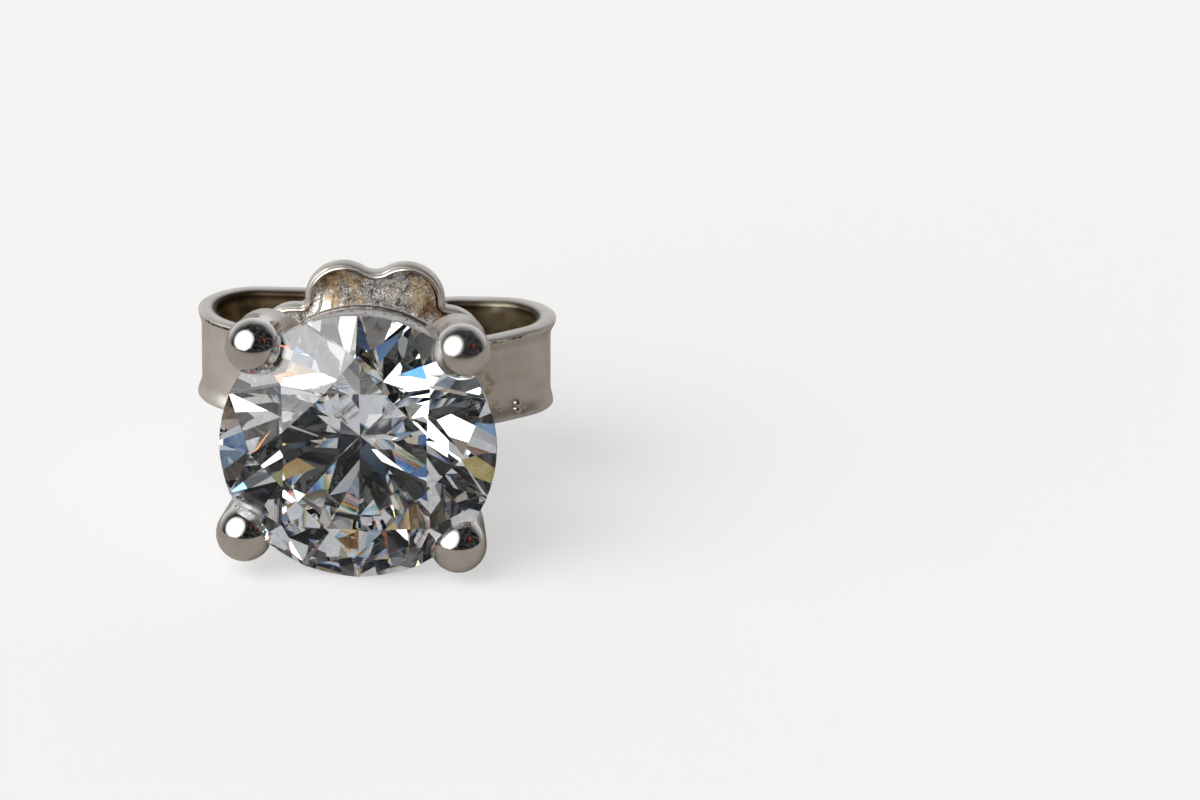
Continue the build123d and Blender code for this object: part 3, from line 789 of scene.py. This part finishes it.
    # Relief: a fine burr along the rim's crest, grain everywhere, dents, ridges and crossing scratches on
    # the face, a bulge in one hollow, and pits by the solder beads
    from_crest = add(tree, "Math", {"operation": "PINGPONG"}, {0: edge, 1: 0.1})
    ridge = add(tree, "MapRange", SMOOTH, {"Value": from_crest, "From Min": 0.07, "From Max": 0.1})
    burr = add(tree, "Bump", {}, {"Height": ridge, "Strength": front, "Distance": 0.022 * MM})
    grained = add(tree, "Bump", {},
                  {"Height": speck, "Strength": 0.25, "Distance": 0.008 * MM, "Normal": burr})
    dented = add(tree, "Bump", {},
                 {"Height": crumple, "Strength": crumpled, "Distance": 0.2 * MM, "Normal": grained})
    to_ridge = add(tree, "Math", {"operation": "SUBTRACT"}, {0: crumple, 1: 0.5})
    off_ridge = add(tree, "Math", {"operation": "ABSOLUTE"}, {0: to_ridge})
    ridged = add(tree, "MapRange", SMOOTH, {"Value": off_ridge, "From Min": 0.03, "From Max": 0.0})
    ridges = add(tree, "Bump", {},
                 {"Height": ridged, "Strength": crumpled, "Distance": 0.02 * MM, "Normal": dented})
    bulge = near(tree, at, PAINTED_HIGHLIGHT_SPOT, 0.01, 0.26)
    normal = add(tree, "Bump", {},
                 {"Height": bulge, "Strength": inner, "Distance": 0.09 * MM, "Normal": ridges})
    for turn, along, across in ((0.5, 2.5, 30), (-0.9, 2.2, 36), (1.7, 3, 26)):
        swung = add(tree, "VectorRotate", {"rotation_type": "Y_AXIS"}, {"Vector": at, "Angle": turn})
        thin = add(tree, "VectorMath", TIMES, {0: swung, 1: (along / MM, along / MM, across / MM)})
        scratch = add(tree, "TexNoise", {}, {"Vector": thin, "Scale": 1.0, "Detail": 1.0})
        normal = add(tree, "Bump", {},
                     {"Height": scratch, "Strength": crumpled, "Distance": 0.03 * MM, "Normal": normal})
    for spot, size in BEAD_PITS:
        pit = near(tree, at, spot, 0.2 * size, size)
        normal = add(tree, "Bump", {"invert": True},
                     {"Height": pit, "Strength": 1.0, "Distance": 0.03 * MM, "Normal": normal})
    bare = add(tree, "Math", TIMES_PLUS, {0: stain, 1: -0.8, 2: 1.0})
    metal = add(tree, "BsdfPrincipled", {},
                {"Base Color": color, "Metallic": bare, "Roughness": rough, "Normal": normal})
    add(tree, "OutputMaterial", {}, {"Surface": metal})
    return material


def studio_paper():
    """Matt studio paper, pale to the eye. In the metal, and in the stone with more contrast, it grows dark
    and cluttered away from the stud, as a table with things on it does; on the facets' fronts it is grey."""
    material, tree = new_material("matt_studio_paper")
    ray = add(tree, "LightPath").outputs
    seen, through = ray["Is Camera Ray"], ray["Is Transmission Ray"]
    at = add(tree, "TexCoord").outputs["Object"]
    away = add(tree, "VectorMath", DOT, {0: at, 1: (0.07, -1.0, 0.0)})
    reach = add(tree, "Mix", NUMBERS, {"Factor": through, "A": 70 * MM, "B": 13 * MM})
    far = add(tree, "MapRange", SMOOTH, {"Value": away, "From Min": 4.5 * MM, "From Max": reach})
    things = add(tree, "TexNoise", {}, {"Vector": at, "Scale": 0.52 / MM, "Detail": 4.0, "Roughness": 0.6})
    littered = add(tree, "MapRange", SMOOTH, {"Value": things, "From Min": 0.43, "From Max": 0.53})
    in_stone = add(tree, "Mix", COLORS, {"Factor": littered, "A": paint("#0E0F12"), "B": paint("#F4F7FC")})
    in_metal = add(tree, "Mix", COLORS, {"Factor": littered, "A": paint("#181716"), "B": paint("#4A4744")})
    distant = add(tree, "Mix", COLORS, {"Factor": through, "A": in_metal, "B": in_stone})
    close_by = add(tree, "Mix", COLORS, {"Factor": littered, "A": paint("#66696F"), "B": paint("#F4F7FC")})
    nearby = add(tree, "Mix", COLORS, {"Factor": through, "A": paint("#B9B2AA"), "B": close_by})
    mirrored = add(tree, "Mix", COLORS, {"Factor": far, "A": nearby, "B": distant})
    on_facet = add(tree, "Math", {"operation": "GREATER_THAN"}, {0: ray["Is Singular Ray"], 1: through})
    veil = add(tree, "Mix", COLORS, {"Factor": on_facet, "A": mirrored, "B": paint("#4E4F55")})
    color = add(tree, "Mix", COLORS, {"Factor": seen, "A": veil, "B": paint("#C2C1BF")})
    paper = add(tree, "BsdfDiffuse", {}, {"Color": color})
    close = add(tree, "MapRange", {}, {"Value": far, "To Min": 0.03, "To Max": 0.0})
    glow = add(tree, "Mix", NUMBERS, {"Factor": seen, "A": close, "B": 0.55})
    table = add(tree, "Emission", {}, {"Color": (1, 1, 1, 1), "Strength": glow})
    lit = add(tree, "AddShader", {}, {0: paper, 1: table})
    add(tree, "OutputMaterial", {}, {"Surface": lit})
    return material


# ---- studio ----

# The camera's distance and aim are in mm, and the lights' directions are right, up and towards the camera
VIEW_AZIMUTH = math.radians(4.27)
VIEW_ELEVATION = math.radians(20.6)
VIEW_DISTANCE = 250.0
LENS = 417.3
AIM_RIGHT = 4.354
AIM_UP = 0.788
KEY_DIRECTION = (-0.62, 0.37, 0.69)
LOW_PANE_DIRECTION = (-0.22, -0.33, 0.92)
RED_DIRECTION = (0.718, 0.323, 0.613)
SPARK_DIRECTIONS = ((0.3, 0.75, 0.6), (0.75, 0.05, 0.65), (-0.1, 0.12, 0.98), (-0.75, -0.1, 0.6))


def seen_axes():
    """Right, up and towards-the-camera directions of the view, in the frame."""
    towards = np.array((math.sin(VIEW_AZIMUTH) * math.cos(VIEW_ELEVATION),
                        -math.cos(VIEW_AZIMUTH) * math.cos(VIEW_ELEVATION), math.sin(VIEW_ELEVATION)))
    towards = towards @ np.array((ACROSS, ALONG, UPWARDS))
    right = np.cross((0, 0, 1), towards)
    right /= np.linalg.norm(right)
    return right, np.cross(towards, right), towards


def camera():
    """A long lens at the stud's viewing angle, aimed a little beside it."""
    right, up, towards = seen_axes()
    data = bpy.data.cameras.new("camera")
    data.lens, data.sensor_width = LENS, 36
    data.clip_start, data.clip_end = 0.01, 10
    made = linked("camera", data)
    place = GIRDLE + towards * VIEW_DISTANCE * MM
    aim = GIRDLE + (right * AIM_RIGHT + up * AIM_UP) * MM
    made.location = place
    made.rotation_euler = Vector(place - aim).to_track_quat("Z", "Y").to_euler()
    bpy.context.scene.camera = made


def softbox(name, direction, distance, size, radiance, in_mirrors=True, in_glass=True, spread=math.pi):
    """A round soft light seen from the stud in this direction: right, up and towards the camera. Its
    distance and size are in metres. The narrower its spread, the softer its edge."""
    axes = np.array(seen_axes())
    way = np.array(direction) @ axes
    way /= np.linalg.norm(way)
    data = bpy.data.lights.new(name, "AREA")
    data.shape, data.size = "DISK", size
    data.spread = spread
    data.energy = radiance * math.pi * math.pi * size**2 / 4
    made = linked(name, data)
    made.location = GIRDLE + way * distance
    made.rotation_euler = Vector(way).to_track_quat("Z", "Y").to_euler()
    made.visible_diffuse = made.visible_glossy = in_mirrors
    made.visible_transmission = in_glass


def surroundings():
    """A pale room behind the stud and a dim, cluttered one in front of it, which shows as bright panes
    through the stone, and where a small red thing stands."""
    world = bpy.data.worlds.new("studio")
    bpy.context.scene.world = world
    world.use_nodes = True
    tree = world.node_tree
    tree.nodes.clear()
    axes = np.array(seen_axes())
    red = np.array(RED_DIRECTION) @ axes / np.linalg.norm(RED_DIRECTION)
    way = add(tree, "TexCoord").outputs["Generated"]
    clutter = add(tree, "TexNoise", {}, {"Vector": way, "Scale": 2.2, "Detail": 4.0})
    front = add(tree, "VectorMath", DOT, {0: way, 1: tuple(axes[2])})
    ragged = add(tree, "Math", TIMES_PLUS, {0: clutter, 1: 0.5, 2: front})
    dim = add(tree, "MapRange", SMOOTH,
              {"Value": ragged, "From Min": -0.7, "From Max": 0.38, "To Min": 0.8, "To Max": 0.0})
    things = add(tree, "TexNoise", {}, {"Vector": way, "Scale": 7.0, "Detail": 5.0, "Roughness": 0.7})
    lit = add(tree, "MapRange", {},
              {"Value": things, "From Min": 0.47, "From Max": 0.72, "To Min": 0.006, "To Max": 0.16})
    panes = add(tree, "TexNoise", {}, {"Vector": way, "Scale": 4.5, "Detail": 3.0, "Roughness": 0.6})
    bright = add(tree, "MapRange", SMOOTH,
                 {"Value": panes, "From Min": 0.53, "From Max": 0.58, "To Min": 0.005, "To Max": 0.55})
    through = add(tree, "LightPath").outputs["Is Transmission Ray"]
    ahead = add(tree, "Mix", NUMBERS, {"Factor": through, "A": lit, "B": bright})
    total = add(tree, "Math", LARGER, {0: dim, 1: ahead})
    to_red = add(tree, "VectorMath", DOT, {0: way, 1: tuple(red)})
    is_red = add(tree, "MapRange", {}, {"Value": to_red, "From Min": 0.985, "From Max": 0.99})
    tint = add(tree, "Mix", COLORS, {"Factor": is_red, "A": (0.97, 0.985, 1.0, 1), "B": (4.0, 0.9, 0.5, 1)})
    sky = add(tree, "Background", {}, {"Color": tint, "Strength": total})
    add(tree, "OutputWorld", {}, {"Surface": sky})


frame["nodes"]["stone"].data.materials.clear()
frame["nodes"]["stone"].data.materials.append(cubic_zirconia())
claw_setting(cast_silver())
butterfly_back(strip_silver())

floor_half = 1.5
corners = np.array(((-1, -1, 0), (1, -1, 0), (1, 1, 0), (-1, 1, 0))) * floor_half
floor = mesh_object("studio_floor", corners, [(0, 1, 2, 3)], smooth=False)
floor.data.materials.append(studio_paper())

camera()
surroundings()
softbox("key_softbox", KEY_DIRECTION, distance=0.32, size=0.7, radiance=0.88, in_glass=False,
        spread=math.radians(90))
softbox("key_middle", KEY_DIRECTION, distance=0.33, size=0.17, radiance=3.0, in_mirrors=False)
softbox("low_pane", LOW_PANE_DIRECTION, distance=0.3, size=0.05, radiance=2.4, in_mirrors=False)
for number, direction in enumerate(SPARK_DIRECTIONS):
    softbox(f"spark_lamp_{number}", direction, distance=0.3, size=0.06, radiance=2.4, in_mirrors=False)

cycles = bpy.context.scene.cycles
cycles.max_bounces = 24
cycles.glossy_bounces = 16
cycles.transmission_bounces = 24
cycles.transparent_max_bounces = 16
bpy.context.scene.view_settings.view_transform = "Standard"
